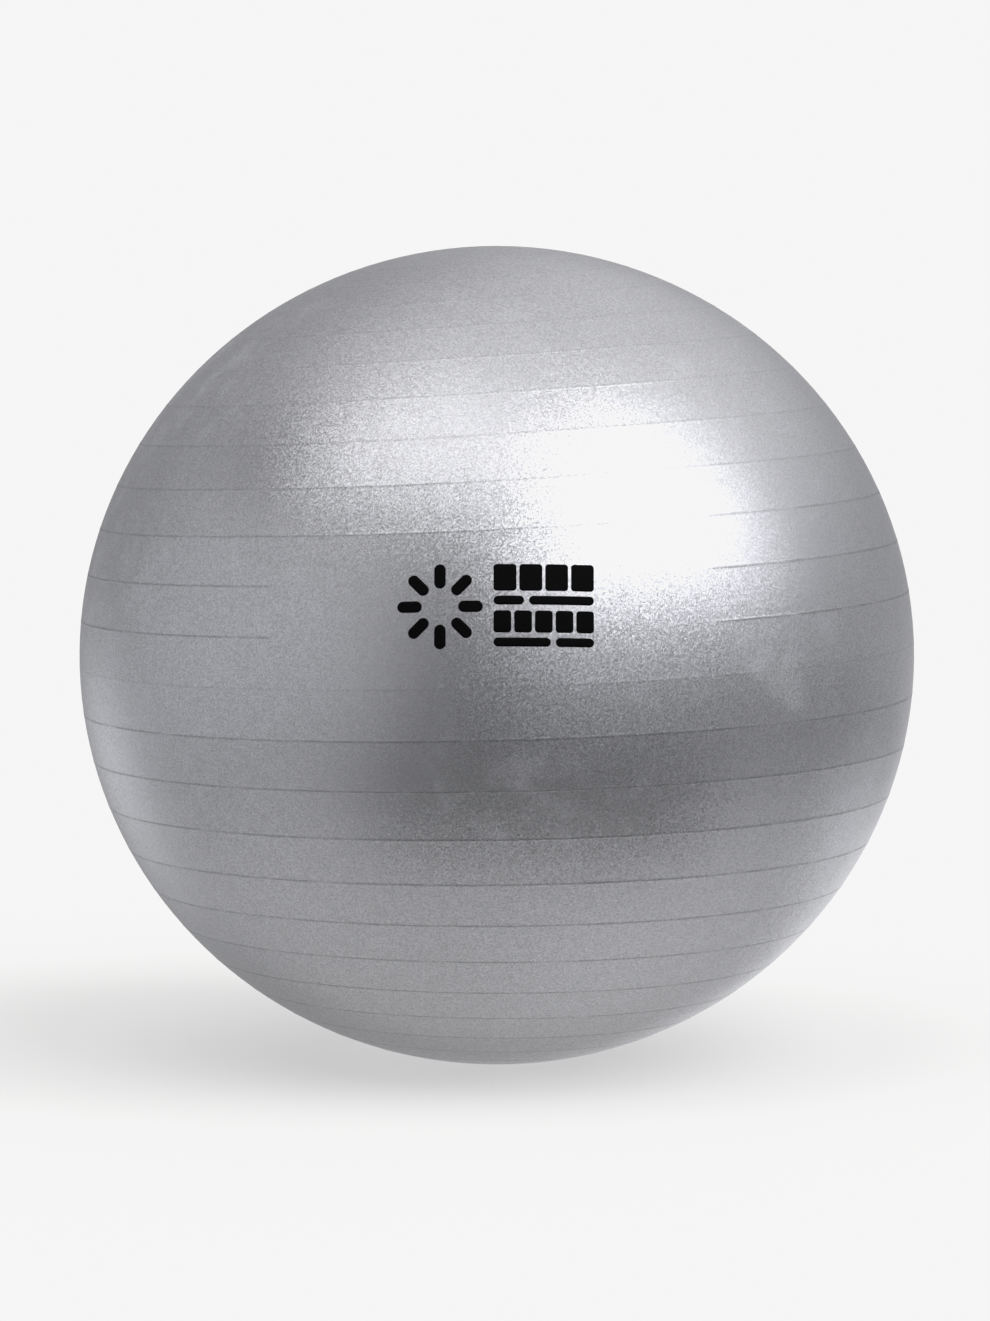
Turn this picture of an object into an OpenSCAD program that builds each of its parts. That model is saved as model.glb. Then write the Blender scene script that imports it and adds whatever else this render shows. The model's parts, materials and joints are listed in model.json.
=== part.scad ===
// Inflated exercise ball: a one-piece moulded skin with thin raised rings, a bonded valve
// seat with its push-in plug, and a printed mark on a smooth panel.
// +Z is up and -Y is the printed front. The ball stands at z = 0 on the small patch that
// its own weight presses flat, and the valve is on the far side, level with the mark.

/* [Ball] */
// Largest diameter, at the equator
ball_d = 550; // [450:10:750]
// Standing height as a share of the diameter
height_ratio = 0.978; // [0.970:0.002:0.990]
// How deep the rounded bottom is pressed flat by the ball's own weight
flat_depth = 1.2; // [0.6:0.1:2.0]
// Thickness of the moulded skin
wall = 0.9; // [0.8:0.1:2.0]

/* [Rings] */
// Number of raised rings, with one at the middle
ring_count = 23; // [11:2:23]
// Width of a ring at its foot
ring_w = 2.6; // [2.0:0.1:4.0]
// Height of a ring above the skin
ring_h = 0.45; // [0.30:0.05:0.80]
// Angle between neighbouring rings near the equator
ring_pitch = 6.9; // [6.0:0.1:7.2]
// How many degrees the tenth ring falls short of an even pitch
ring_closing = 1.8; // [0:0.2:5]
// Angle of the middle ring above the equator
ring_offset = 0.5; // [-1:0.1:1]
// How far the axis of the rings leans towards -X
ring_lean = 1.8; // [0:0.1:4]
// How much further the rings near the top lean, and how much less those near the bottom
ring_fan = 2.7; // [0:0.1:4]

/* [Smooth front panel] */
// Rings that stop at the panel, counted up from the middle one
panel_rings = [1, 2];
// Angle from the middle of the panel to the end of a ring
panel_half = 29.5; // [20:0.5:40]

/* [Printed mark] */
// Angle of the mark's centre above the equator
mark_lat = 10.8; // [8:0.1:14]
// How far the mark's centre is from the middle of the panel, along X
mark_shift = -3.5; // [-10:0.5:10]
// Thickness of the ink film
ink_t = 0.2; // [0.1:0.05:0.3]
// Width across the emblem
emblem_d = 52; // [40:1:56]
// Number of strokes in the emblem
emblem_strokes = 8; // [6:1:9]
// Width of the block of bars beside the emblem
bars_w = 61; // [40:1:70]

/* [Valve] */
// Angle of the valve above the equator
valve_lat = 10.9; // [8:0.1:14]
// Diameter of the seat where it shows in the skin
seat_d = 24; // [22:0.5:26]
// Diameter of the seat's flange inside the skin
flange_d = 36; // [30:1:44]
// Thickness of that flange
flange_t = 2.2; // [1.6:0.1:3]
// Diameter of the tube that grips the plug
tube_d = 15; // [14:0.5:18]
// Distance from the outside of the skin to the inner end of the tube
tube_depth = 20; // [16:1:26]
// Diameter of the hole through the seat
hole_d = 9; // [8:0.5:10]
// Diameter of the plug's head
head_d = 17.4; // [16:0.2:18]
// Thickness of the plug's head
head_t = 1.7; // [1.4:0.1:2.0]
// Length of the plug's shank below the head
shank_l = 24; // [20:1:30]
// Number of ridges round the shank
ridge_count = 4; // [2:1:5]

/* [Hidden] */
$fn = 256;

// The ball's half outline is a four-centre oval: a side arc meets the top and bottom arcs
// at the blend angle, where no ring runs along the join, and the bottom is cut off flat.
a = ball_d / 2;
ball_h = ball_d * height_ratio;
b = (ball_h + flat_depth) / 2;
centre_z = ball_h - b;
blend = 43;
centres_gap = (a - b) / (sin(blend) + cos(blend) - 1);
side_r = a - centres_gap * cos(blend);
end_r = b + centres_gap * sin(blend);
side_x = a - side_r;
end_z = end_r - b;

// A ring is a round cord let into the skin, so that only a low bump shows.
cord_r = (ring_w * ring_w / 4 + ring_h * ring_h) / (2 * ring_h);
cord_depth = cord_r - ring_h;
cord_sides = 32;
last_ring = (ring_count - 1) / 2;

// Valve
fit_gap = 0.05;    // between the shank's ridges and the hole
part_gap = 0.3;    // between the plug's head and the seat
ridge_h = 0.45;    // height of a ridge on the shank
ridge_pitch = 3.4; // distance from one ridge to the next
ridge_start = 3.7; // from the underside of the head to the first ridge's inner end
ridge_root = 0.05; // how far a ridge's thin end starts inside the shank
tip_l = 3;         // length of the shank's tapered tip
tip_taper = 1.2;   // how much less the tip's radius is at its end
recess_t = head_t + part_gap;
recess_floor = 2;  // thickness of the seat under the plug's head
beyond = 8;        // how far a blank or a cutter runs past the surface that trims it

// Mark
emblem_gap = 5;    // from the emblem's strokes to the middle between emblem and bars
bars_gap = 1.5;    // from there to the bars
stroke_w = 7;
stroke_l = 15;
block_gap = 1.8;
block_corner = 2;
bar_gap = 3;
bar_h = 5.5;
tall_block_h = 16.5;
short_block_h = 13.5;
bar_rows = [1, -24.5]; // lower edges of the two rows of bars, each with its blocks above

function ring_lat(i) = ring_offset + ring_pitch * i - ring_closing * pow(i / 10, 3);
function on_panel(i) = len(search(i, panel_rings)) > 0;

// Half of the oval, drawn inset millimetres inside the outer surface
module half_oval(inset) {
    split_x = (end_r - inset) * cos(blend);
    intersection() {
        translate([0, -end_z]) circle(r = end_r - inset);
        translate([0, end_z]) circle(r = end_r - inset);
        translate([0, -ball_d]) square([split_x, 2 * ball_d]);
    }
    intersection() {
        translate([side_x, 0]) circle(r = side_r - inset);
        translate([split_x, -ball_d]) square([ball_d, 2 * ball_d]);
    }
}

module smooth_ball(inset) {
    difference() {
        translate([0, 0, centre_z]) rotate_extrude() half_oval(inset);
        translate([-ball_d, -ball_d, inset - 2 * ball_d]) cube(2 * ball_d);
    }
}

// The rings. Ring i lies in a plane that leans, so its centre is off the ball's axis.
module ring_cord(i) {
    lat = ring_lat(i);
    fan = atan(sin(lat) * tan(ring_fan));
    lean = ring_lean + fan;
    level = sin(lat) * cos(fan);
    level_r = sqrt(1 - level * level);
    tilt = atan2(sin(lean) / a, cos(lean) / b);
    steep = atan2(level * a, level_r * b);
    translate([-a * level * sin(lean), 0, centre_z + b * level * cos(lean)])
        rotate([0, -tilt, 0])
            if (on_panel(i))
                rotate([0, 0, panel_half - 90])
                    rotate_extrude(angle = 360 - 2 * panel_half)
                        cord_section(a * level_r, steep);
            else
                rotate_extrude() cord_section(a * level_r, steep);
}

module cord_section(r, steep) {
    translate([r - cord_depth * cos(steep), -cord_depth * sin(steep)])
        circle(r = cord_r, $fn = cord_sides);
}

module ball_skin() {
    color("silver") difference() {
        union() {
            smooth_ball(0);
            for (i = [-last_ring : last_ring]) ring_cord(i);
        }
        smooth_ball(wall);
        at_valve() translate([0, 0, -tube_depth]) cylinder(d = seat_d, h = 2 * tube_depth);
    }
}

// Places its children with z = 0 on the skin at the valve, and +Z pointing out of the ball
module at_valve() {
    translate([0, side_x, centre_z]) rotate([valve_lat - 90, 0, 0])
        translate([0, 0, side_r]) children();
}

// Places its children with z = 0 on the skin at the mark, +Z outwards and +Y up the panel
module at_mark() {
    translate([0, -side_x, centre_z]) rotate([90 - mark_lat, 0, 0])
        translate([mark_shift, 0, side_r]) children();
}

module valve_seat() {
    color("gainsboro") difference() {
        union() {
            intersection() {
                smooth_ball(0);
                at_valve() translate([0, 0, -recess_t - recess_floor])
                    cylinder(d = seat_d, h = recess_t + recess_floor + beyond);
            }
            intersection() {
                smooth_ball(wall);
                at_valve() translate([0, 0, -wall - flange_t])
                    cylinder(d = flange_d, h = wall + flange_t + beyond);
            }
            at_valve() translate([0, 0, -tube_depth])
                cylinder(d = tube_d, h = tube_depth - recess_t);
        }
        at_valve() translate([0, 0, -tube_depth - beyond])
            cylinder(d = hole_d, h = tube_depth + 2 * beyond);
        at_valve() translate([0, 0, -recess_t])
            cylinder(d = head_d + 2 * part_gap, h = recess_t + beyond);
    }
}

module valve_plug() {
    shank_r = hole_d / 2 - fit_gap - ridge_h;
    color("white") at_valve() translate([0, 0, -head_t]) {
        cylinder(d = head_d, h = head_t);
        translate([0, 0, tip_l - shank_l])
            cylinder(r = shank_r, h = shank_l - tip_l + head_t / 2);
        translate([0, 0, -shank_l])
            cylinder(r1 = shank_r - tip_taper, r2 = shank_r, h = tip_l);
        for (i = [0 : ridge_count - 1])
            translate([0, 0, -ridge_start - i * ridge_pitch])
                cylinder(r1 = shank_r - ridge_root, r2 = shank_r + ridge_h, h = ridge_pitch / 2);
    }
}

// The mark, flat: a burst of round-ended strokes and four rows of plain bars
module bar(w, h) {
    translate([h / 2, 0]) square([w - h, h]);
    for (x = [h / 2, w - h / 2]) translate([x, h / 2]) circle(d = h);
}

module block(w, h, r) {
    translate([r, 0]) square([w - 2 * r, h]);
    translate([0, r]) square([w, h - 2 * r]);
    for (x = [r, w - r], y = [r, h - r]) translate([x, y]) circle(r = r);
}

// Equal blocks side by side
module block_row(count, h) {
    each_w = (bars_w - (count - 1) * block_gap) / count;
    for (i = [0 : count - 1])
        translate([i * (each_w + block_gap), 0]) block(each_w, h, block_corner);
}

// Two bars, the first with this share of the width
module bar_row(share) {
    free_w = bars_w - bar_gap;
    bar(share * free_w, bar_h);
    translate([share * free_w + bar_gap, 0]) bar((1 - share) * free_w, bar_h);
}

module emblem() {
    for (i = [0 : emblem_strokes - 1])
        rotate([0, 0, i * 360 / emblem_strokes])
            translate([emblem_d / 2 - stroke_l, -stroke_w / 2]) bar(stroke_l, stroke_w);
}

module mark_outline() {
    translate([-emblem_gap - emblem_d / 2, 0]) emblem();
    translate([bars_gap, 0]) {
        translate([0, bar_rows[0] + bar_h + bar_gap]) block_row(4, tall_block_h);
        translate([0, bar_rows[0]]) bar_row(0.32);
        translate([0, bar_rows[1] + bar_h + bar_gap]) block_row(5, short_block_h);
        translate([0, bar_rows[1]]) bar_row(0.6);
    }
}

module printed_mark() {
    color("black") intersection() {
        difference() {
            smooth_ball(-ink_t);
            smooth_ball(0);
        }
        at_mark() translate([0, 0, -beyond]) linear_extrude(2 * beyond) mark_outline();
    }
}

ball_skin();
valve_seat();
valve_plug();
printed_mark();
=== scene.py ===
import json
import math

import bpy
import numpy as np
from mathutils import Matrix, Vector


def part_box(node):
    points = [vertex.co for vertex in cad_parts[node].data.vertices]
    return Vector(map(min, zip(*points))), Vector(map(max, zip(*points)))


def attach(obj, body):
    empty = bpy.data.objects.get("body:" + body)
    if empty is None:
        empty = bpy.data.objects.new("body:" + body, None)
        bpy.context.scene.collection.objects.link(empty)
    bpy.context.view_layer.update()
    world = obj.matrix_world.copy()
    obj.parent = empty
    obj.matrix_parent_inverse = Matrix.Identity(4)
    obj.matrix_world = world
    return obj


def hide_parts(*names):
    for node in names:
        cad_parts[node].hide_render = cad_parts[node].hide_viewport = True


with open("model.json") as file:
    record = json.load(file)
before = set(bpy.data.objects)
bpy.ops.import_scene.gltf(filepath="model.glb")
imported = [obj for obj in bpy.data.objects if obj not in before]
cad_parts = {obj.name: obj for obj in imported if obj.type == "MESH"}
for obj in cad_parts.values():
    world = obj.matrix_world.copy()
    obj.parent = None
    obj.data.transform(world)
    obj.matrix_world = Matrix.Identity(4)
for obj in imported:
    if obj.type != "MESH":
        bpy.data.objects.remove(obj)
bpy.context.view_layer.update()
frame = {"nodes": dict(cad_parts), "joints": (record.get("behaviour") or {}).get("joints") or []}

MM = 0.001

# The ball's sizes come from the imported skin, whose box is the smooth ball plus a ring's height.
RING_H = 0.45 * MM
skin_low, skin_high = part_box("ball_skin")
EQUATOR_R = (skin_high.x - skin_low.x) / 2 - RING_H
HEIGHT = skin_high.z
FLAT_DEPTH = 1.2 * MM
POLE_R = (HEIGHT + FLAT_DEPTH) / 2
CENTRE_Z = HEIGHT - POLE_R
WALL = 0.9 * MM

# The rings, as in part.scad: i counts up from the middle ring, and each plane leans a little.
LAST_RING = 11
RING_PITCH = 6.9
RING_CLOSING = 1.8
RING_OFFSET = 0.5
RING_LEAN = math.radians(1.8)
RING_FAN = math.tan(math.radians(2.7))
PANEL_RINGS = (1, 2)
PANEL_HALF = 29.5
PANEL_TAPER = 1.6

# A ring as it looks: the CAD's ring is a plain cord, and the real one is a low soft bead.
BEAD_W = 2.6 * MM
BEAD_H = 0.10 * MM
MIDDLE_SHARE = 0.4  # the middle ring is fainter than the others

# Where the mark's centre is: its angle above the equator and its distance along X
MARK_LAT = math.radians(10.8)
MARK_SHIFT = -3.5 * MM

# The valve: its axis is the plug's joint axis, and its place is the middle of the plug's head.
VALVE_AXIS = Vector(frame["joints"][0]["axis"]).normalized()
SIDEWAYS = Vector((1, 0, 0))
UP_PANEL = SIDEWAYS.cross(VALVE_AXIS)
SEAT_R = 12.0 * MM


# ---------------------------------------------------------------- shape of the ball

RADII = np.array([EQUATOR_R, EQUATOR_R, POLE_R])
CENTRE = np.array([0, 0, CENTRE_Z])


def unit_to_ball(unit):
    """Points of the unit sphere, put on the ball's smooth surface."""
    return unit * RADII + CENTRE


def ball_normals(points):
    """Outward normals of the smooth ball at points on or near it."""
    n = (points - CENTRE) / RADII**2
    return n / np.linalg.norm(n, axis=-1, keepdims=True)


def seen_along(start, outward):
    """Points of the smooth ball that cover the start points, looking along this direction."""
    scale = 1 / RADII
    o = (start - CENTRE) * scale
    d = outward * scale
    along, square, rest = o @ d, d @ d, (o * o).sum(-1) - 1
    t = (-along + np.sqrt(along**2 - square * rest)) / square
    return start + t[..., None] * outward


def on_circle(level, around):
    """Points of the unit sphere on the leaned circle at this level angle, where 0 is the
    front and angles run towards +X, both in degrees."""
    level, around = np.broadcast_arrays(np.radians(level), np.radians(around))
    d = np.sin(level)
    s = d / np.sqrt(1 - (d * RING_FAN) ** 2)
    lean = RING_LEAN + np.arctan(s * RING_FAN)
    radius = np.cos(level)
    x = radius * np.sin(around)
    y = -radius * np.cos(around)
    return np.stack(
        [x * np.cos(lean) - d * np.sin(lean), y, x * np.sin(lean) + d * np.cos(lean)],
        axis=-1,
    )


def ring_level(i):
    """Level angle of ring i, in degrees, whose plane keeps the ring's own latitude."""
    lat = RING_OFFSET + RING_PITCH * i - RING_CLOSING * (i / 10) ** 3
    s = math.sin(math.radians(lat))
    return math.degrees(math.asin(s / math.sqrt(1 + (s * RING_FAN) ** 2)))


RING_LEVELS = {i: ring_level(i) for i in range(-LAST_RING, LAST_RING + 1)}


def smoothstep(x):
    """0 below 0 and 1 above 1, rising smoothly between them."""
    x = np.clip(x, 0, 1)
    return x * x * (3 - 2 * x)


def ring_share(level, around):
    """How much of a ring's bead there is at these angles, which are in degrees: 1 along the
    middle of a ring and 0 between rings."""
    degree = math.radians(1) * POLE_R
    share = np.zeros(np.broadcast(level, around).shape)
    for i, ring in RING_LEVELS.items():
        across = np.clip(np.abs(level - ring) * degree / (BEAD_W / 2), 0, 1)
        bead = np.cos(across * np.pi / 2) ** 2
        if i == 0:
            bead = bead * MIDDLE_SHARE
        if i in PANEL_RINGS:
            from_front = np.abs((around + 180) % 360 - 180)
            bead = bead * smoothstep((from_front - PANEL_HALF) / PANEL_TAPER)
        share = share + bead
    return share


FOOT_SOFT = 0.25 * MM  # how round the edge of the flat foot is


def flatten_foot(points, floor):
    """Presses the bottom of the ball flat at this height, with a soft edge."""
    z = points[..., 2] - floor
    points[..., 2] = floor + (z + np.sqrt(z * z + FOOT_SOFT * FOOT_SOFT)) / 2
    return points


# ---------------------------------------------------------------- building meshes

def add_object(name, data):
    """A new object in the scene."""
    item = bpy.data.objects.new(name, data)
    bpy.context.scene.collection.objects.link(item)
    return item


class Builder:
    """Collects vertices and faces for one mesh."""

    def __init__(self):
        self.points = []
        self.shares = []
        self.faces = []

    def add(self, points, share=0.0):
        """Adds an array of points, and returns their numbers in an array of the same shape.
        The share is one number for all of them or one for each, for the material to read."""
        points = np.asarray(points, float)
        flat = points.reshape(-1, 3)
        first = sum(len(p) for p in self.points)
        self.points.append(flat)
        self.shares.append(np.broadcast_to(share, points.shape[:-1]).ravel())
        return (first + np.arange(len(flat))).reshape(points.shape[:-1])

    def quads(self, grid, wrap=False, keep=None):
        """Faces between the rows and columns of a grid of vertex numbers."""
        rows, columns = grid.shape
        for r in range(rows - 1):
            for c in range(columns if wrap else columns - 1):
                if keep is not None and not keep(r, c):
                    continue
                d = (c + 1) % columns
                self.faces.append([grid[r, c], grid[r, d], grid[r + 1, d], grid[r + 1, c]])

    def fan(self, tip, loop, flip=False):
        """Triangles from one vertex to a closed loop."""
        n = len(loop)
        for c in range(n):
            face = [tip, loop[c], loop[(c + 1) % n]]
            self.faces.append(face[::-1] if flip else face)

    def object(self, name, material, flip=False):
        """A smooth object of the collected faces, without the vertices that none of them use."""
        mesh = bpy.data.meshes.new(name)
        used = np.zeros(sum(len(p) for p in self.points), bool)
        for face in self.faces:
            used[face] = True
        number = np.cumsum(used) - 1
        faces = [number[f[::-1] if flip else f].tolist() for f in self.faces]
        mesh.from_pydata(np.concatenate(self.points)[used].tolist(), [], faces)
        mesh.validate()
        mesh.shade_smooth()
        shares = np.concatenate(self.shares)[used]
        if shares.any():
            mesh.attributes.new("ring", "FLOAT", "POINT").data.foreach_set("value", shares)
        mesh.materials.append(material)
        return add_object(name, mesh)


def lathe(builder, profile, place, steps):
    """Turns a closed profile of (radius, height) pairs. Points on the axis become one vertex."""
    angles = np.linspace(0, 2 * np.pi, steps, endpoint=False)
    loops = []
    for radius, height in profile:
        if radius < 1e-9:
            loops.append(builder.add(place(np.array([[0.0, 0.0, height]]))))
            continue
        ring = np.stack(
            [radius * np.cos(angles), radius * np.sin(angles), np.full(steps, height)], axis=-1
        )
        loops.append(builder.add(place(ring)))
    for lower, upper in zip(loops, loops[1:] + loops[:1]):
        if len(lower) == 1 and len(upper) == 1:
            continue
        if len(lower) == 1:
            builder.fan(lower[0], upper, flip=True)
        elif len(upper) == 1:
            builder.fan(upper[0], lower)
        else:
            builder.quads(np.stack([lower, upper]), wrap=True)


VALVE_FRAME = np.array([SIDEWAYS, UP_PANEL, VALVE_AXIS])
TOP_LAYER = 0.05 * MM  # vertices this near the plug's highest one belong to its head's outside


def valve_head_centre():
    """Middle of the plug's head, on its outside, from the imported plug."""
    points = np.array([v.co for v in frame["nodes"]["valve_plug"].data.vertices])
    local = points @ VALVE_FRAME.T
    top = local[:, 2].max()
    rim = local[local[:, 2] > top - TOP_LAYER]
    middle = (rim.min(0) + rim.max(0)) / 2
    return VALVE_FRAME.T @ (middle[0], middle[1], top)


VALVE_CENTRE = valve_head_centre()


def at_valve(local):
    """Points given as (sideways, up, outwards) from the middle of the plug's head."""
    return VALVE_CENTRE + local @ VALVE_FRAME


def surface_at_valve(across):
    """Points of the smooth ball over (sideways, up) places, looking along the valve axis."""
    return seen_along(VALVE_CENTRE + across @ VALVE_FRAME[:2], VALVE_FRAME[2])


# ---------------------------------------------------------------- the skin

OUTSIDE_STEPS = (2.4, 1.5)  # degrees between rows and between columns on the outside
INSIDE_STEPS = (4.0, 3.0)
PANEL_STEP = 0.3  # degrees between columns where the panel's rings end
PANEL_MARGIN = 0.2  # degrees of these close columns beyond the ends
ACROSS_RING = np.array([-1.5, -1.05, -0.7, -0.35, 0, 0.35, 0.7, 1.05, 1.5]) * MM
WINDOW_CELLS = 24  # grid cells across the window that holds the valve hole
WINDOW_RING = 2  # the window's rows lie just below this ring
HOLE_LAYER = 8  # the square of cells that becomes the edge of the hole
WINDOW_HALF = 14.6 * MM
HOLE_RIM = SEAT_R + 0.05 * MM
SHOULDER_R = SEAT_R + 0.5 * MM  # where the skin starts to dip towards the seat
SEAM_DROP = 0.35 * MM  # how far the skin's edge dips into the seam round the seat


def spaced(start, stop, step):
    """Even steps from start up to but not including stop, none longer than step."""
    count = max(1, math.ceil(abs(stop - start) / step))
    return np.linspace(start, stop, count, endpoint=False)


def valve_column():
    """Angle from the front at which the leaned circles pass the middle of the valve."""
    height = math.sin(math.atan2(VALVE_AXIS.z, VALVE_AXIS.y))
    lean = RING_LEAN + math.atan(height * RING_FAN)
    radius = math.sqrt(1 - (height * math.cos(lean)) ** 2)
    return 180 - math.degrees(math.asin(height * math.sin(lean) / radius))


def column_angles(step):
    """Angles of the columns from the front, closer together where the panel's rings end and
    at the valve, which is opposite the front. Also returns the number of the window's first
    column."""
    half = math.degrees(WINDOW_HALF / EQUATOR_R)
    middle = valve_column()
    near = PANEL_HALF - PANEL_MARGIN
    far = PANEL_HALF + PANEL_TAPER + PANEL_MARGIN
    right = [
        spaced(0, near, step),
        spaced(near, far, PANEL_STEP),
        spaced(far, middle - half, step),
    ]
    window = np.linspace(middle - half, middle + half, WINDOW_CELLS, endpoint=False)
    left = [
        spaced(middle + half, 360 - far, step),
        spaced(360 - far, 360 - near, PANEL_STEP),
        spaced(360 - near, 360, step),
    ]
    first = sum(len(a) for a in right)
    return np.concatenate([*right, window, *left]), first


def row_levels(step, ring_offsets):
    """Level angles of the rows from bottom to top: a few across each ring, and steps between.
    Also returns the number of the window's first row."""
    degree = math.radians(1) * POLE_R
    offsets = np.array(ring_offsets) / degree
    rows = []
    first = None
    last = -90
    for i, ring in RING_LEVELS.items():
        low = ring + offsets[0]
        if i == WINDOW_RING:
            first = len(rows) - 1
            rows += list(np.linspace(last, low, WINDOW_CELLS, endpoint=False))[1:]
        else:
            rows += list(spaced(last, low, step))[1:]
        rows += list(ring + offsets)
        last = ring + offsets[-1]
    rows += list(spaced(last, 90, step))[1:]
    return np.array(rows), first


def open_window(points, first_row, first_column):
    """Moves the grid's points inside the window so that one square of cells becomes the round
    edge of the valve hole. The squares outside it change smoothly into the grid."""
    n, half = WINDOW_CELLS, WINDOW_CELLS // 2
    rows = slice(first_row, first_row + n + 1)
    columns = slice(first_column, first_column + n + 1)
    window = points[rows, columns]
    local = (window - VALVE_CENTRE) @ VALVE_FRAME[:2].T
    steps = np.arange(-half, half + 1)
    up, along = np.meshgrid(steps, steps, indexing="ij")
    layer = np.maximum(np.abs(up), np.abs(along))
    new = local.copy()
    for r in range(n + 1):
        for c in range(n + 1):
            k = layer[r, c]
            if k < HOLE_LAYER or k == half:
                continue
            # The place on the window's own edge that is straight out from this point
            exact = np.array([up[r, c], along[r, c]]) * half / k + half
            r0, c0 = np.floor(exact).astype(int).clip(0, n - 1)
            fr, fc = exact - (r0, c0)
            edge = (
                (1 - fr) * (1 - fc) * local[r0, c0] + (1 - fr) * fc * local[r0, c0 + 1]
                + fr * (1 - fc) * local[r0 + 1, c0] + fr * fc * local[r0 + 1, c0 + 1]
            )
            angle = math.atan2(edge[1], edge[0])
            out = np.array([math.cos(angle), math.sin(angle)])
            if k == HOLE_LAYER:
                new[r, c] = HOLE_RIM * out
            else:
                t = (k - HOLE_LAYER - 1) / (half - HOLE_LAYER - 1)
                new[r, c] = (1 - t) * SHOULDER_R * out + t * edge
    moved = surface_at_valve(new)
    inside = layer < half
    window[inside] = moved[inside]
    points[rows, columns] = window


def hole_loop(grid, first_row, first_column):
    """The vertex numbers round the hole's edge, in order."""
    n, half, k = WINDOW_CELLS, WINDOW_CELLS // 2, HOLE_LAYER
    lo, hi = half - k, half + k
    path = [(lo, c) for c in range(lo, hi)] + [(r, hi) for r in range(lo, hi)]
    path += [(hi, c) for c in range(hi, lo, -1)] + [(r, lo) for r in range(hi, lo, -1)]
    return np.array([grid[first_row + r, first_column + c] for r, c in path])


def skin_sheet(builder, steps, ring_offsets, depth, outside):
    """One side of the skin, open at the valve hole. Returns the loop round the hole."""
    row_step, column_step = steps
    columns, first_column = column_angles(column_step)
    rows, first_row = row_levels(row_step, ring_offsets)
    points = unit_to_ball(on_circle(rows[:, None], columns[None, :]))
    open_window(points, first_row, first_column)
    share = ring_share(rows[:, None], columns[None, :]) if outside else np.zeros(points.shape[:2])
    offset = share * BEAD_H - depth
    n, half = WINDOW_CELLS, WINDOW_CELLS // 2
    lo, hi = half - HOLE_LAYER, half + HOLE_LAYER
    if outside:
        edge = np.zeros((n + 1, n + 1), bool)
        edge[lo:hi + 1, [lo, hi]] = True
        edge[[lo, hi], lo:hi + 1] = True
        part = offset[first_row:first_row + n + 1, first_column:first_column + n + 1]
        part[edge] -= SEAM_DROP
    points = flatten_foot(points + ball_normals(points) * offset[..., None], depth)
    grid = builder.add(points, share)

    def keep(r, c):
        return not (lo <= r - first_row < hi and lo <= c - first_column < hi)

    builder.quads(grid, wrap=True, keep=keep)
    poles = unit_to_ball(on_circle(np.array([-90.0, 90.0]), 0.0))
    poles = flatten_foot(poles - ball_normals(poles) * depth, depth)
    bottom, top = builder.add(poles)
    builder.fan(bottom, grid[0], flip=True)
    builder.fan(top, grid[-1])
    return hole_loop(grid, first_row, first_column)


def make_skin(material):
    """The hollow skin: an outside and an inside sheet, joined round the valve hole."""
    builder = Builder()
    outer = skin_sheet(builder, OUTSIDE_STEPS, ACROSS_RING, 0.0, True)
    faces = len(builder.faces)
    inner = skin_sheet(builder, INSIDE_STEPS, [0.0], WALL, False)
    builder.faces[faces:] = [f[::-1] for f in builder.faces[faces:]]
    builder.quads(np.stack([outer, inner]), wrap=True)
    return builder.object("ball_skin_shell", material)


# ---------------------------------------------------------------- valve seat and plug

def round_corner(centre_r, centre_h, radius, start, stop, steps=6):
    """Points along a round corner of a lathe profile; angles in degrees from +radius."""
    angles = np.radians(np.linspace(start, stop, steps))
    return [(centre_r + radius * math.cos(t), centre_h + radius * math.sin(t)) for t in angles]


HEAD_R = 8.7 * MM
HEAD_T = 1.7 * MM
PART_GAP = 0.3 * MM
RECESS = HEAD_T + PART_GAP
FLANGE_R = 18.0 * MM
FLANGE_T = 2.2 * MM
TUBE_R = 7.5 * MM
TUBE_DEPTH = 20.0 * MM
HOLE_R = 4.5 * MM
SHANK_L = 24.0 * MM
RIDGE_H = 0.45 * MM
RIDGE_PITCH = 3.4 * MM
RIDGES = 4
FIRST_RIDGE = 2.0 * MM  # below the head
SHANK_PLAY = 0.05 * MM
SEAT_ROUND = 0.35 * MM
RIM_DROP = 0.02 * MM  # how far the seat's rim lies below the ball's surface
BOND_GAP = 0.05 * MM  # between the seat's flange and the inside of the skin
PLUG_ROUND = 0.45 * MM
DISH_R = 5.4 * MM
DISH_DEPTH = 0.45 * MM
TIP_TAPER = 3.0 * MM
TIP_ROUND = 0.4 * MM
TIP_IN = 1.4 * MM  # from the shank's side to the middle of the tip's rounding
BORE_R = 1.6 * MM
BORE_DEPTH = 16.0 * MM
BORE_END = 1.0 * MM  # how deep the bore's pointed end is
BORE_BEVEL = 0.3 * MM
LATHE_STEPS = 128


def sag(radius):
    """How far the ball's surface has fallen away at this distance from the valve's axis."""
    return radius * radius / (2 * EQUATOR_R)


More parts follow.
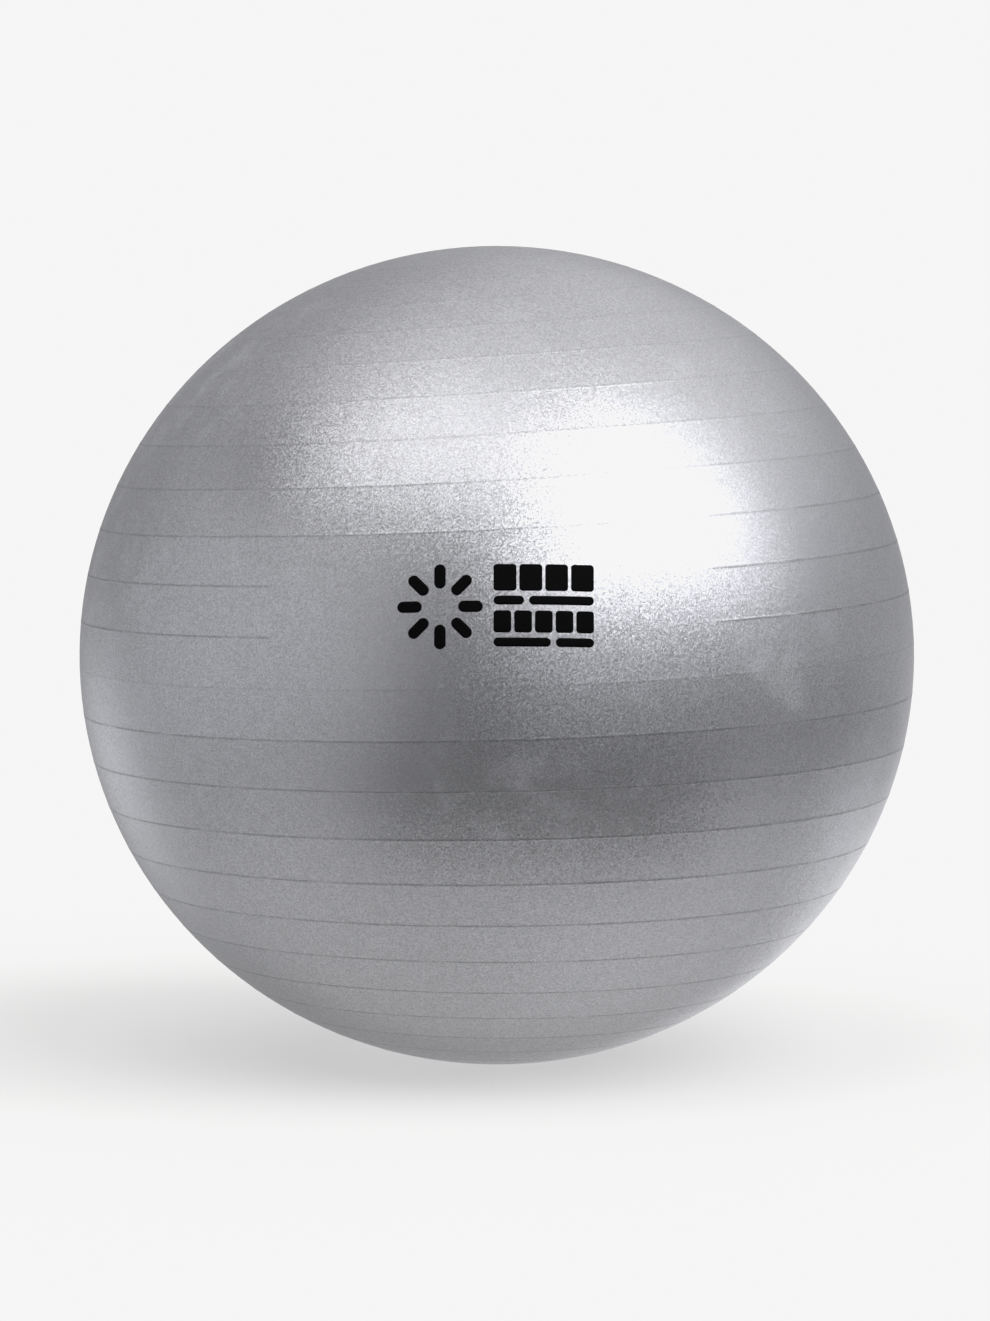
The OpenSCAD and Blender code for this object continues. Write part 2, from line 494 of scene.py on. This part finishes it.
def make_valve_seat(material):
    """The soft insert: a flush rim in the skin, a recess for the plug's head, a flange bonded
    inside the skin and a tube that grips the plug. The profile runs once round its section."""
    round_r = SEAT_ROUND
    recess_r = HEAD_R + PART_GAP
    rim_top = -sag(SEAT_R) - RIM_DROP
    recess_top = -sag(recess_r)
    profile = round_corner(SEAT_R - round_r, rim_top - round_r, round_r, 0, 80, 5)
    profile += round_corner(recess_r + round_r, recess_top - round_r, round_r, 95, 180, 6)
    profile += round_corner(recess_r - round_r, -RECESS + round_r, round_r, 0, -90, 5)
    profile += round_corner(HOLE_R + round_r, -RECESS - round_r, round_r, 90, 180, 6)
    profile += [(HOLE_R, -TUBE_DEPTH / 2), (HOLE_R, -TUBE_DEPTH + round_r)]
    profile += round_corner(TUBE_R - 2 * round_r, -TUBE_DEPTH + 2 * round_r, 2 * round_r, -90, 0, 6)
    under = -WALL - FLANGE_T - sag(FLANGE_R)
    profile += round_corner(TUBE_R + 2 * round_r, under - 2 * round_r, 2 * round_r, 180, 90, 5)
    profile += round_corner(FLANGE_R - round_r, under + round_r, round_r, -90, 0, 4)
    flange_top = -WALL - sag(FLANGE_R) - BOND_GAP
    profile += round_corner(FLANGE_R - round_r, flange_top - round_r, round_r, 0, 90, 4)
    profile += [(SEAT_R, -WALL - sag(SEAT_R) - BOND_GAP)]
    builder = Builder()
    lathe(builder, profile[::-1], at_valve, LATHE_STEPS)
    return builder.object("valve_seat_insert", material)


def make_valve_plug(material):
    """The push-in plug: a dished flat head with a rounded edge, and a ridged shank."""
    shank_r = HOLE_R - SHANK_PLAY - RIDGE_H
    edge = PLUG_ROUND
    profile = [(0, -DISH_DEPTH), (DISH_R - 0.9 * MM, -DISH_DEPTH)]
    profile += [(DISH_R - 0.45 * MM, -DISH_DEPTH * 0.8), (DISH_R, -DISH_DEPTH * 0.2)]
    profile += [(DISH_R + 0.35 * MM, -0.02 * MM), (DISH_R + 0.9 * MM, 0)]
    profile += round_corner(HEAD_R - edge, -edge, edge, 90, 0, 6)
    profile += round_corner(HEAD_R - edge, -HEAD_T + edge, edge, 0, -90, 5)
    profile += round_corner(shank_r + edge, -HEAD_T - edge, edge, 90, 180, 5)
    for i in range(RIDGES):
        top = -HEAD_T - FIRST_RIDGE - i * RIDGE_PITCH
        profile += [(shank_r, top + 0.15 * MM), (shank_r + RIDGE_H - 0.1 * MM, top)]
        profile += [(shank_r + RIDGE_H, top - 0.12 * MM), (shank_r + RIDGE_H, top - 0.3 * MM)]
        profile += [(shank_r, top - RIDGE_PITCH / 2)]
    tip = -HEAD_T - SHANK_L
    profile += [(shank_r, tip + TIP_TAPER)]
    profile += round_corner(shank_r - TIP_IN, tip + TIP_ROUND, TIP_ROUND, 0, -90, 4)
    profile += [(BORE_R + BORE_BEVEL, tip), (BORE_R, tip + BORE_BEVEL)]
    profile += [(BORE_R, tip + BORE_DEPTH), (0, tip + BORE_DEPTH + BORE_END)]
    builder = Builder()
    lathe(builder, profile, at_valve, LATHE_STEPS)
    return builder.object("valve_plug_pin", material)


# ---------------------------------------------------------------- the printed mark

INK_BELOW = 0.05 * MM
INK_ABOVE = 0.06 * MM
STROKE_W = 7.0 * MM
STROKE_L = 15.0 * MM
EMBLEM_D = 52.0 * MM
STROKES = 8
BARS_W = 61.0 * MM
BARS_LEFT = 1.5 * MM  # where the rows start, right of the mark's centre
EMBLEM_LEFT = 31.0 * MM  # from the mark's centre to the emblem's centre
INK_STEP = 2.0 * MM  # the longest cell in the ink's grid
END_HALF = 0.02 * MM  # half the height that is left at a bar's rounded end
# The rows from the top: shares of the free width, gap, height, corner and lower edge.
ROWS = (
    ([1 / 4] * 4, 1.8 * MM, 16.5 * MM, 2.0 * MM, 9.5 * MM),
    ([0.32, 0.68], 3.0 * MM, 5.5 * MM, 2.75 * MM, 1.0 * MM),
    ([1 / 5] * 5, 1.8 * MM, 13.5 * MM, 2.0 * MM, -16.0 * MM),
    ([0.6, 0.4], 3.0 * MM, 5.5 * MM, 2.75 * MM, -24.5 * MM),
)


def rounded_outline(width, height, corner):
    """Places along a rounded bar and its half height at each, close together at the ends."""
    turn = np.linspace(0, np.pi / 2, 7)
    start = corner * (1 - np.cos(turn))
    count = max(2, int((width - 2 * corner) / INK_STEP) + 1)
    middle = np.linspace(corner, width - corner, count)[1:-1]
    x = np.concatenate([start, middle, width - start[::-1]])
    from_end = np.minimum(x, width - x).clip(0, corner)
    half = height / 2 - corner + np.sqrt(corner**2 - (corner - from_end) ** 2)
    return x, half


def mark_frame():
    """Axes of the mark: sideways, up the panel and outwards, with its centre on the ball."""
    out = np.array([0, -math.cos(MARK_LAT), math.sin(MARK_LAT)])
    up = np.array([0, math.sin(MARK_LAT), math.cos(MARK_LAT)])
    return np.array([[1.0, 0, 0], up, out])


MARK_FRAME = mark_frame()


def on_ball_at_mark(flat):
    """Points of the smooth ball in front of flat (sideways, up) places on the mark."""
    start = CENTRE + flat @ MARK_FRAME[:2] + MARK_SHIFT * MARK_FRAME[0]
    return seen_along(start, MARK_FRAME[2])


def add_bar(builder, width, height, corner, place, turn=0.0):
    """One bar of ink as a thin closed solid that follows the ball."""
    x, half = rounded_outline(width, height, corner)
    half = np.maximum(half, END_HALF)
    v = np.linspace(-1, 1, max(3, int(height / INK_STEP) * 2 + 1))
    flat = np.stack(np.broadcast_arrays(x[:, None], v[None, :] * half[:, None]), axis=-1)
    c, s = math.cos(turn), math.sin(turn)
    flat = flat @ np.array([[c, s], [-s, c]]) + place
    surface = on_ball_at_mark(flat)
    normals = ball_normals(surface)
    low = builder.add(surface - normals * INK_BELOW)
    high = builder.add(surface + normals * INK_ABOVE)
    builder.quads(high)
    builder.quads(low[::-1])
    rim_low = np.concatenate([low[:, 0], low[-1, 1:], low[-2::-1, -1], low[0, -2:0:-1]])
    rim_high = np.concatenate([high[:, 0], high[-1, 1:], high[-2::-1, -1], high[0, -2:0:-1]])
    builder.quads(np.stack([rim_high, rim_low]), wrap=True)


def add_row(builder, shares, gap, height, corner, low):
    """A row of bars side by side, which share out the width that the gaps leave."""
    free = BARS_W - gap * (len(shares) - 1)
    x = BARS_LEFT
    for share in shares:
        add_bar(builder, share * free, height, corner, (x, low + height / 2))
        x += share * free + gap


def make_printed_mark(material):
    """The generic print: a burst of short strokes, and four rows of blocks and bars."""
    builder = Builder()
    centre = np.array([-EMBLEM_LEFT, 0])
    for i in range(STROKES):
        turn = math.radians(i * 360 / STROKES)
        along = np.array([math.cos(turn), math.sin(turn)])
        start = centre + along * (EMBLEM_D / 2 - STROKE_L)
        add_bar(builder, STROKE_L, STROKE_W, STROKE_W / 2, start, turn)
    for row in ROWS:
        add_row(builder, *row)
    return builder.object("printed_mark_ink", material, flip=True)


# ---------------------------------------------------------------- node helper

class Tree:
    """Short ways to add nodes to one node tree and join them."""

    def __init__(self, tree):
        self.tree = tree
        self.nodes = tree.nodes

    def add(self, kind, inputs=None, **settings):
        node = self.nodes.new(kind)
        for name, value in settings.items():
            setattr(node, name, value)
        for name, value in (inputs or {}).items():
            self.put(node.inputs[name], value)
        return node

    def put(self, socket, value):
        if isinstance(value, bpy.types.NodeSocket):
            self.tree.links.new(value, socket)
        else:
            socket.default_value = value

    def math(self, operation, *values):
        return self.add("ShaderNodeMath", dict(enumerate(values)), operation=operation).outputs[0]

    def window(self, value, low, high, soft):
        """1 where value lies between low and high, falling smoothly to 0 over the soft edge.
        With low or high None, that side is open."""
        if low is None:
            return self.ramp(value, high + soft, high - soft)
        rise = self.ramp(value, low - soft, low + soft)
        if high is None:
            return rise
        return self.math("MULTIPLY", rise, self.ramp(value, high + soft, high - soft))

    def between(self, share, a, b):
        """Number a where share is 0 and b where it is 1."""
        return self.add("ShaderNodeMix", {0: share, 2: a, 3: b}).outputs[0]

    def colours(self, share, a, b):
        """Colour a where share is 0 and b where it is 1."""
        mix = self.add("ShaderNodeMix", {0: share, 6: a, 7: b}, data_type="RGBA")
        return mix.outputs[2]

    def ramp(self, value, start, stop):
        """0 at start and 1 at stop, rising smoothly, and flat beyond both."""
        node = self.add(
            "ShaderNodeMapRange",
            {"Value": value, "From Min": start, "From Max": stop},
            interpolation_type="SMOOTHSTEP",
        )
        return node.outputs[0]

    def vector(self, operation, a, b):
        return self.add("ShaderNodeVectorMath", {0: a, 1: b}, operation=operation).outputs[0]

    def noise(self, place, scale, detail, roughness=0.5):
        inputs = {"Vector": place, "Scale": scale, "Detail": detail, "Roughness": roughness}
        return self.add("ShaderNodeTexNoise", inputs).outputs[0]

    def place(self):
        """The shaded point's place, in metres."""
        return self.add("ShaderNodeTexCoord").outputs["Object"]

    def bump(self, height):
        """The surface's normal where this height in metres stands on it."""
        return self.add("ShaderNodeBump", {"Height": height, "Distance": 1.0}).outputs[0]


def empty_tree(owner):
    """The cleared node tree of a material or a world."""
    owner.use_nodes = True
    t = Tree(owner.node_tree)
    t.nodes.clear()
    return t


# ---------------------------------------------------------------- materials

def new_material(name):
    """A material with its Principled shader joined to its output, and its helper."""
    material = bpy.data.materials.new(name)
    t = empty_tree(material)
    shader = t.add("ShaderNodeBsdfPrincipled")
    output = t.add("ShaderNodeOutputMaterial")
    t.tree.links.new(shader.outputs[0], output.inputs["Surface"])
    return material, t, shader


def fold_end(around, above):
    """Where a fold ends: azimuth from the front, towards +X, and latitude, in degrees."""
    a, e = math.radians(around), math.radians(above)
    unit = np.array([math.sin(a) * math.cos(e), -math.cos(a) * math.cos(e), math.sin(e)])
    return unit_to_ball(unit)


# Short creases left by folding, drawn as painted shade: azimuth and latitude of both ends, in
# degrees
FOLDS = (
    (61, 39, 57, 43),
    (57, 43, 56, 47),
    (65, -26, 68, -28.5),
    (68.5, -25, 71, -27),
    (50, -34, 52, -37),
    (52, -37, 55, -39),
    (-38, -44, -36.5, -47),
    (-47, 33, -44, 35),
)
FOLD_HALF = 0.5 * MM


def fold_marks(t, place):
    """1 along the fold creases and 0 off them."""
    marks = 0.0
    for around_a, above_a, around_b, above_b in FOLDS:
        a = fold_end(around_a, above_a)
        along = fold_end(around_b, above_b) - a
        from_a = t.vector("SUBTRACT", place, tuple(a))
        share = t.add("ShaderNodeVectorMath", {0: from_a, 1: tuple(along)}, operation="DOT_PRODUCT")
        share = t.math("DIVIDE", share.outputs["Value"], float(along @ along))
        share = t.add("ShaderNodeClamp", {"Value": share}).outputs[0]
        step = t.add("ShaderNodeVectorMath", {0: tuple(along), "Scale": share}, operation="SCALE")
        off = t.vector("SUBTRACT", from_a, step.outputs["Vector"])
        distance = t.add("ShaderNodeVectorMath", {0: off}, operation="LENGTH").outputs["Value"]
        marks = t.math("MAXIMUM", marks, t.ramp(distance, FOLD_HALF * 2, FOLD_HALF * 0.4))
    return marks


SKIN_COLOUR = (0.606, 0.613, 0.655)
FLAKE_TONE = 0.21
FLAKE_TILT = 0.17
# Painted shade along the rings: how much darker a ring's middle is low on the ball and near the top
RING_PAINTED_SHADE = 0.38
RING_PAINTED_SHADE_TOP = 0.10  # the rings' painted shade is weak near the top, where they show mostly by their relief
FLAKE_SCALE = 1450.0  # flakes to the metre
RING_SHADE_FADE = (0.30, 0.48)  # heights in metres between which the rings' painted shade fades
GRAIN_H = 0.015 * MM


def skin_material():
    """Pearl PVC: a soft metallic grey full of fine flakes, which sparkle where the light
    changes. Each ring carries painted shade, weaker towards the top, and the fold creases are drawn
    as painted shade; there are also faint clouds and bloom."""
    material, t, shader = new_material("pearl_pvc")
    place = t.place()
    flakes = t.add("ShaderNodeTexVoronoi", {"Vector": place, "Scale": FLAKE_SCALE})
    flakes = flakes.outputs["Color"]
    flake = t.add("ShaderNodeSeparateColor", {0: flakes}).outputs
    clouds = t.noise(place, 8.0, 3.0)
    blotches = t.noise(place, 42.0, 4.0, roughness=0.6)
    grain = t.noise(place, 620.0, 1.0)
    ring = t.add("ShaderNodeAttribute", attribute_name="ring").outputs["Fac"]
    fold_shade = fold_marks(t, place)
    bloom = t.ramp(t.math("MULTIPLY", clouds, blotches), 0.28, 0.42)

    tone = t.between(flake["Red"], 1 - FLAKE_TONE, 1 + FLAKE_TONE)
    tone = t.math("MULTIPLY", tone, t.between(clouds, 0.96, 1.04))
    tone = t.math("MULTIPLY", tone, t.between(blotches, 0.975, 1.025))
    # Painted shade along each ring, strongest along its middle, patchy with the blotches and weaker
    # towards the top
    ring_shade = t.math("MULTIPLY", t.math("POWER", ring, 1.5), t.ramp(blotches, 0.2, 0.6))
    above = t.add("ShaderNodeSeparateXYZ", {0: place}).outputs["Z"]
    dark = t.between(t.ramp(above, *RING_SHADE_FADE), RING_PAINTED_SHADE, RING_PAINTED_SHADE_TOP)
    tone = t.math("MULTIPLY", tone, t.math("SUBTRACT", 1.0, t.math("MULTIPLY", ring_shade, dark)))
    # Painted shade along the fold creases: a tenth darker
    tone = t.math("MULTIPLY", tone, t.between(fold_shade, 1.0, 0.9))
    tone = t.math("MULTIPLY", tone, t.between(bloom, 1.0, 1.04))
    colour = t.add("ShaderNodeVectorMath", {0: SKIN_COLOUR, "Scale": tone}, operation="SCALE")
    t.put(shader.inputs["Base Color"], colour.outputs["Vector"])

    t.put(shader.inputs["Metallic"], t.between(bloom, 0.80, 0.72))
    rough = t.math("ADD", t.between(clouds, 0.34, 0.40), t.between(bloom, 0.0, 0.04))
    rough = t.math("ADD", rough, t.between(flake["Green"], -0.03, 0.03))
    rough = t.math("ADD", rough, t.between(ring, 0.0, 0.04))
    t.put(shader.inputs["Roughness"], rough)

    height = t.math("MULTIPLY", grain, GRAIN_H)
    bump = t.bump(height)
    tilt = t.vector("SUBTRACT", flakes, (0.5, 0.5, 0.5))
    tilt = t.add("ShaderNodeVectorMath", {0: tilt, "Scale": FLAKE_TILT}, operation="SCALE")
    tilted = t.vector("ADD", bump, tilt.outputs["Vector"])
    normal = t.add("ShaderNodeVectorMath", {0: tilted}, operation="NORMALIZE")
    t.put(shader.inputs["Normal"], normal.outputs["Vector"])
    return material


def ink_material():
    """Screen-printed black ink: nearly matt, with the skin's grain and a few thin places."""
    material, t, shader = new_material("screen_ink")
    place = t.place()
    thin = t.ramp(t.noise(place, 160.0, 5.0, roughness=0.7), 0.62, 0.75)
    grain = t.noise(place, 700.0, 2.0)
    colour = t.colours(thin, (0.002, 0.002, 0.0025, 1), (0.009, 0.009, 0.011, 1))
    t.put(shader.inputs["Base Color"], colour)
    t.put(shader.inputs["Roughness"], t.between(grain, 0.55, 0.75))
    t.put(shader.inputs["Specular IOR Level"], 0.05)
    height = t.math("MULTIPLY", grain, 0.04 * MM)
    t.put(shader.inputs["Normal"], t.bump(height))
    return material


def seat_material():
    """Soft grey PVC of the insert, darker than the skin and without its flakes, dusty in the
    recess."""
    material, t, shader = new_material("soft_pvc")
    place = t.place()
    clouds = t.noise(place, 130.0, 5.0)
    grain = t.noise(place, 1500.0, 3.0)
    dust = t.ramp(t.noise(place, 420.0, 6.0, roughness=0.7), 0.55, 0.7)
    colour = t.colours(clouds, (0.21, 0.215, 0.225, 1), (0.27, 0.275, 0.285, 1))
    colour = t.colours(t.math("MULTIPLY", dust, 0.35), colour, (0.42, 0.41, 0.39, 1))
    t.put(shader.inputs["Base Color"], colour)
    rough = t.math("ADD", t.between(clouds, 0.42, 0.52), t.between(dust, 0.0, 0.15))
    t.put(shader.inputs["Roughness"], rough)
    height = t.math("MULTIPLY", grain, 0.03 * MM)
    height = t.math("ADD", height, t.math("MULTIPLY", clouds, 0.06 * MM))
    t.put(shader.inputs["Normal"], t.bump(height))
    return material


def plug_material():
    """Moulded white plastic, a little yellowed, with turning marks and fine scratches."""
    material, t, shader = new_material("moulded_plastic")
    place = t.place()
    clouds = t.noise(place, 180.0, 4.0)
    stretched = t.vector("MULTIPLY", place, (1.0, 14.0, 3.0))
    scratches = t.ramp(t.noise(stretched, 900.0, 3.0), 0.58, 0.72)
    grime = t.ramp(t.noise(place, 350.0, 6.0, roughness=0.65), 0.60, 0.78)
    colour = t.colours(clouds, (0.72, 0.71, 0.67, 1), (0.79, 0.785, 0.75, 1))
    colour = t.colours(t.math("MULTIPLY", grime, 0.4), colour, (0.45, 0.44, 0.41, 1))
    t.put(shader.inputs["Base Color"], colour)
    rough = t.math("ADD", t.between(clouds, 0.30, 0.38), t.between(scratches, 0.0, 0.12))
    t.put(shader.inputs["Roughness"], rough)
    t.put(shader.inputs["Subsurface Weight"], 0.08)
    t.put(shader.inputs["Subsurface Radius"], (0.002, 0.0018, 0.0014))
    height = t.math("MULTIPLY", clouds, 0.03 * MM)
    height = t.math("SUBTRACT", height, t.math("MULTIPLY", scratches, 0.006 * MM))
    t.put(shader.inputs["Normal"], t.bump(height))
    return material


skin = make_skin(skin_material())
seat = make_valve_seat(seat_material())
plug = make_valve_plug(plug_material())
mark = make_printed_mark(ink_material())
for piece, node, body, slot in (
    (skin, "ball_skin", "ball", "skin_pvc"),
    (seat, "valve_seat", "ball", "seat_pvc"),
    (mark, "printed_mark", "ball", "ink"),
    (plug, "valve_plug", "plug", "plug_plastic"),
):
    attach(piece, body)
    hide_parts(node)


# ---------------------------------------------------------------- stage

BACKDROP = 0.95
WHITE = 0.92  # the brightest tone in the picture, which the backdrop has too
SHOULDER = 0.90  # tones up to here are kept as they are

# Light from near the horizon, and the slightly warmer light from above and off the table
HORIZON_TINT = (0.995, 0.993, 1.0)
LAMP_TINT = (1.0, 0.99, 0.97)
TINT_TURN = (20, 50)  # degrees from the horizon between which the one turns into the other

WALLS = 0.30  # brightness wherever no part of the room is

# The room round the ball, each later part laid over the earlier ones. Brightness, then
# azimuth from the camera's side towards +X (from, to) and elevation (from, to) in degrees,
# then how soft the edges are each way. None means all round, or no limit on that side.
ROOM = (
    ("ceiling", 0.70, None, (25, None), (1, 14)),
    ("pale table", 0.57, None, (None, -32), (1, 10)),
    ("table's lit side", 0.68, (40, 160), (None, -50), (20, 10)),
    ("table in the ball's own shade", 0.32, (165, 222), (-47, -12), (15, 8)),
    ("dark side behind the camera", 0.0, (-42, 65), (-47, -16), (5, 9)),
    ("dark gap below the left softbox", 0.0, (-115, 0), (-15, 50), (6, 6)),
    ("left wall", 0.55, (-115, -25), (-20, 33), (12, 8)),
    ("backdrop's lit foot, right", 1.5, (120, 178), (-27, -8), (12, 10)),
    ("backdrop's lit foot, left", 1.1, (-150, -125), (-27, -3), (12, 10)),
    ("left doorway", 0.3, (-180, -120), (0, 55), (12, 10)),
    ("right wall's dark foot", 0.0, (50, 155), (-18, -7), (12, 8)),
    ("left softbox", 1.75, (-78, -2), (43, None), (3, 3)),
    ("main softbox", 3.1, (14, 84), (18.5, 67), (4, 4)),
)


def studio_world():
    """The ball sees the room, and the camera sees only the plain backdrop."""
    world = bpy.data.worlds.new("studio")
    bpy.context.scene.world = world
    t = empty_tree(world)
    direction = t.add("ShaderNodeTexCoord").outputs["Generated"]
    xyz = t.add("ShaderNodeSeparateXYZ", {0: direction}).outputs
    around = t.math("DEGREES", t.math("ARCTAN2", xyz["X"], t.math("MULTIPLY", xyz["Y"], -1.0)))
    above = t.math("DEGREES", t.math("ARCSINE", xyz["Z"]))
    light = WALLS
    for _, brightness, sides, (low, high), (soft_across, soft_up) in ROOM:
        share = t.window(above, low, high, soft_up)
        if sides:
            half = (sides[1] - sides[0]) / 2
            turned = t.math("SUBTRACT", around, sides[0] + half)
            turned = t.math("ABSOLUTE", t.math("WRAP", turned, 180.0, -180.0))
            share = t.math("MULTIPLY", share, t.window(turned, None, half, soft_across))
        light = t.between(share, light, brightness)
    is_camera = t.add("ShaderNodeLightPath").outputs["Is Camera Ray"]
    shown = t.between(is_camera, light, BACKDROP)
    steep = t.ramp(t.math("ABSOLUTE", above), *TINT_TURN)
    tint = t.colours(steep, (*HORIZON_TINT, 1), (*LAMP_TINT, 1))
    tint = t.colours(is_camera, tint, (1, 1, 1, 1))
    background = t.add("ShaderNodeBackground", {"Color": tint, "Strength": shown})
    output = t.add("ShaderNodeOutputWorld")
    t.tree.links.new(background.outputs[0], output.inputs["Surface"])


FLOOR_TONE = 0.94
FLOOR_HALF = 40
FLOOR_FADE = (0.3, 0.9)  # distances from the ball's foot between which the shadow fades out
FLOOR_GLOW = 0.5  # share of the backdrop's own brightness in the floor near the ball


def make_floor():
    """A pale floor with a faint soft shadow near the ball, which turns into the backdrop."""
    mesh = bpy.data.meshes.new("floor")
    corners = [(x * FLOOR_HALF, y * FLOOR_HALF, 0) for x, y in ((-1, -1), (1, -1), (1, 1), (-1, 1))]
    mesh.from_pydata(corners, [], [(0, 1, 2, 3)])
    material = bpy.data.materials.new("floor")
    t = empty_tree(material)
    place = t.place()
    away = t.add("ShaderNodeVectorMath", {0: place}, operation="LENGTH").outputs["Value"]
    lit = t.add("ShaderNodeBsdfDiffuse", {"Color": (FLOOR_TONE, FLOOR_TONE, FLOOR_TONE, 1)})
    glow = t.add("ShaderNodeEmission", {"Color": (1, 1, 1, 1), "Strength": BACKDROP})
    share = t.between(t.ramp(away, *FLOOR_FADE), FLOOR_GLOW, 1.0)
    mix = t.add("ShaderNodeMixShader", {0: share})
    t.tree.links.new(lit.outputs[0], mix.inputs[1])
    t.tree.links.new(glow.outputs[0], mix.inputs[2])
    output = t.add("ShaderNodeOutputMaterial")
    t.tree.links.new(mix.outputs[0], output.inputs["Surface"])
    mesh.materials.append(material)
    floor = add_object("floor", mesh)
    floor.visible_glossy = False
    floor.visible_diffuse = False


LENS = 136
SENSOR_W = 36
CAMERA_AWAY = 12  # distance in ball radii
CAMERA_TIP = math.radians(4.6)  # how far above the ball's middle the camera looks from
AIM_OFF = Vector((-1.2, 0, -3.6)) * MM  # from the ball's middle to the middle of the picture


def make_camera():
    """The photograph's camera: far off, a little above the ball's middle."""
    data = bpy.data.cameras.new("camera")
    camera = add_object("camera", data)
    bpy.context.scene.camera = camera
    data.lens = LENS
    data.sensor_width = SENSOR_W
    data.clip_end = 100
    centre = Vector((0, 0, CENTRE_Z))
    back = Vector((0, -math.cos(CAMERA_TIP), math.sin(CAMERA_TIP)))
    camera.location = centre + back * CAMERA_AWAY * EQUATOR_R
    camera.rotation_mode = "QUATERNION"
    away = camera.location - (centre + AIM_OFF)
    camera.rotation_quaternion = away.to_track_quat("Z", "Y")


def set_white():
    """Keeps tones as they are up to SHOULDER, and lets nothing pass WHITE, so that the main
    highlight is as bright as the backdrop, as in the photograph."""
    view = bpy.context.scene.view_settings
    view.view_transform = "Standard"
    view.use_curve_mapping = True
    view.curve_mapping.extend = "HORIZONTAL"
    curve = view.curve_mapping.curves[3]  # the one for all three colours together
    curve.points[1].location = (1.0, WHITE)
    curve.points.new(SHOULDER, SHOULDER)
    curve.points.new(BACKDROP, WHITE)
    for point in curve.points:
        point.handle_type = "VECTOR"
    view.curve_mapping.update()


studio_world()
make_floor()
make_camera()
set_white()
